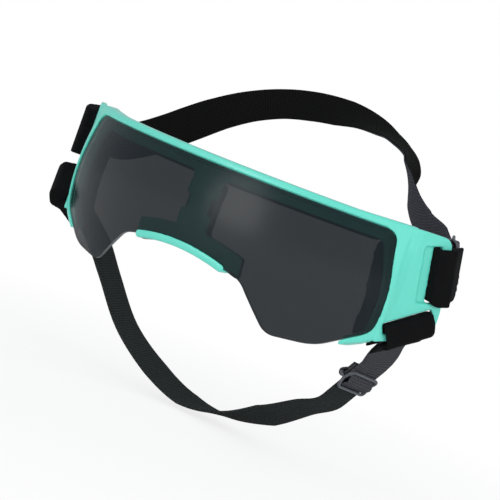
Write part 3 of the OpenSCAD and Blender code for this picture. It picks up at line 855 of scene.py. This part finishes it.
def stitches(name, rows, tree, thread, body):
    """Rows of stitches along straight lines, as one plain mesh."""
    verts = [end for row in rows for end in row]
    edges = [(i, i + 1) for i in range(0, len(verts), 2)]
    made = new_object(name, verts, [], edges=edges)
    modifier = made.modifiers.new("stitches", "NODES")
    modifier.node_group = tree
    apply_modifiers(made)
    paint(made, thread)
    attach(made, body)


# Camera and light


def camera():
    """The photograph's camera, rolled about its own axis."""
    azimuth, elevation, roll = (math.radians(x) for x in CAMERA_TURNS)
    level = math.cos(elevation)
    back = Vector((math.sin(azimuth) * level, -math.cos(azimuth) * level, math.sin(elevation)))
    right = (-back).cross(Vector((0, 0, 1))).normalized()
    up = right.cross(-back)
    turned_right = right * math.cos(roll) + up * math.sin(roll)
    turned_up = up * math.cos(roll) - right * math.sin(roll)
    data = bpy.data.cameras.new("photo_camera")
    data.sensor_width = SENSOR_WIDTH
    data.lens = FOCAL_LENGTH
    data.clip_start, data.clip_end = CLIP_START, CLIP_END
    made = add_object("photo_camera", data)
    turn = Matrix((turned_right, turned_up, back)).transposed().to_4x4()
    made.matrix_world = Matrix.Translation(CAMERA_AT) @ turn
    bpy.context.scene.camera = made


def soft_light(name, place, size, power, glossy, diffuse):
    """A round area lamp that points at the object."""
    data = bpy.data.lights.new(name, "AREA")
    data.shape = "DISK"
    data.size = size
    data.energy = power
    made = add_object(name, data)
    made.location = place
    made.visible_glossy = glossy
    made.visible_diffuse = diffuse
    made.rotation_mode = "QUATERNION"
    made.rotation_quaternion = (Vector(LAMP_AIM) - Vector(place)).to_track_quat("-Z", "Y")


def white_world():
    """White to the camera and through the lens, and a plain soft level on the object."""
    world = bpy.data.worlds.new("studio")
    world.use_nodes = True
    bpy.context.scene.world = world
    g = Graph(world.node_tree)
    path = g.node("ShaderNodeLightPath", {}, {})
    camera_ray, through_ray = path.out("Is Camera Ray"), path.out("Is Transmission Ray")
    seen = camera_ray.maths("MAXIMUM", camera_ray, through_ray)
    soft = g.node("ShaderNodeBackground", {}, SOFT_WORLD)
    white = g.node("ShaderNodeBackground", {}, {"Color": WHITE, "Strength": 1.0})
    mixed = g.node("ShaderNodeMixShader", {}, {0: seen, 1: soft.out(0), 2: white.out(0)})
    g.node("ShaderNodeOutputWorld", {}, {"Surface": mixed.out(0)})


def pale_floor(height):
    """A plain pale floor that keeps the object's shadow and shows white to the camera."""
    m = Finish("pale_floor")
    matt = m.node("ShaderNodeBsdfDiffuse", {}, {"Color": FLOOR_COLOUR})
    glow = m.node("ShaderNodeEmission", {}, {"Color": WHITE, "Strength": 1.0})
    seen = m.node("ShaderNodeLightPath", {}, {}).out("Is Camera Ray")
    parts = m.node("ShaderNodeSeparateXYZ", {}, {"Vector": m.place()})
    across, back = parts.out("X"), parts.out("Y")
    away = across * across + back * back
    share = seen * (away * FLOOR_GROWTH + FLOOR_WHITE).clamped()
    mixed = m.node("ShaderNodeMixShader", {}, {0: share, 1: matt.out(0), 2: glow.out(0)})
    square = ((-1, -1), (1, -1), (1, 1), (-1, 1))
    corners = [(x * FLOOR_HALF, y * FLOOR_HALF, height) for x, y in square]
    floor = new_object("floor", corners, [(0, 1, 2, 3)])
    paint(floor, m.output(mixed))


# The scene

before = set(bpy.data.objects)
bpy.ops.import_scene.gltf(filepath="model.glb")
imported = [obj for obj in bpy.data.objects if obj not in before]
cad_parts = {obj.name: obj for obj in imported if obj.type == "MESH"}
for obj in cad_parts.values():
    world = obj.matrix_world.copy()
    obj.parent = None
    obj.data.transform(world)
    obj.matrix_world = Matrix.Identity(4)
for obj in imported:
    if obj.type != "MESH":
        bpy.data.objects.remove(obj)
cad_low, cad_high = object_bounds()

foam = open_foam()
fabric = brushed_fabric()
thread = sewing_thread()
plastic = slider_plastic()

dress_frame(moulded_mint())
dress_lens(smoked_lens(), lens_rim())
for pad in ("brow_pad", "left_side_pad", "right_side_pad", "nose_pad"):
    foam_pad(pad, foam)
for tab in ("upper_left_tab", "upper_right_tab", "lower_left_tab", "lower_right_tab"):
    fabric_tab(tab, fabric)

upper_left, upper_right = upper_mouths()
head_stations = strap_stations(HEAD_ROUTE, upper_left, HEAD, upper_right)
head_web = woven_elastic("head_elastic", HEAD_COLOURS, HEAD_PITCH)
head = web_band("head_webbing", head_stations)
finish_piece(head, head_web, "head_strap", "webbing", "head_strap")

lower_left, lower_right = lower_mouths()
chin_stations = strap_stations(CHIN_ROUTE, lower_left, CHIN, lower_right)
chin_length = sum(np.linalg.norm(b[0] - a[0]) for a, b in zip(chin_stations, chin_stations[1:]))
chin_web = woven_elastic("chin_elastic", CHIN_COLOURS, CHIN_PITCH, chin_length - CHIN_GREY_END)
chin_end_web = woven_elastic("chin_end_elastic", CHIN_COLOURS, CHIN_PITCH, GREY_THROUGHOUT)
chin = web_band("chin_webbing", chin_stations)
finish_piece(chin, chin_web, "chin_strap", "webbing", "chin_strap")

tree = stitch_tree(thread)
under = -WEB_WALL / 2 - END_GAP - END_WALL * (1 + LAYER_STEP) - STITCH_SUNK
adjusters = (
    ("head", "head_slider", HEAD, head_web),
    ("chin", "chin_slider", CHIN, chin_end_web),
)
for label, body, run, _ in adjusters:
    finish_piece(slider_piece(label + "_buckle", run), plastic, body, "slider_plastic", body)
for label, body, run, end_web in adjusters:
    strap_end = strap_end_piece(label + "_web_end", run)
    finish_piece(strap_end, end_web, body, "webbing", label + "_strap_end")
for label, body, run, _ in adjusters:
    rows = [[run_point(run, x, y, under) for y in (-STITCH_HALF, STITCH_HALF)] for x in STITCH_ROWS]
    stitches(label + "_end_stitches", rows, tree, thread, body)

camera()
white_world()
for lamp in LAMPS:
    soft_light(*lamp)
pale_floor(cad_low.z - FLOOR_DROP)
bpy.context.scene.view_settings.view_transform = "Standard"
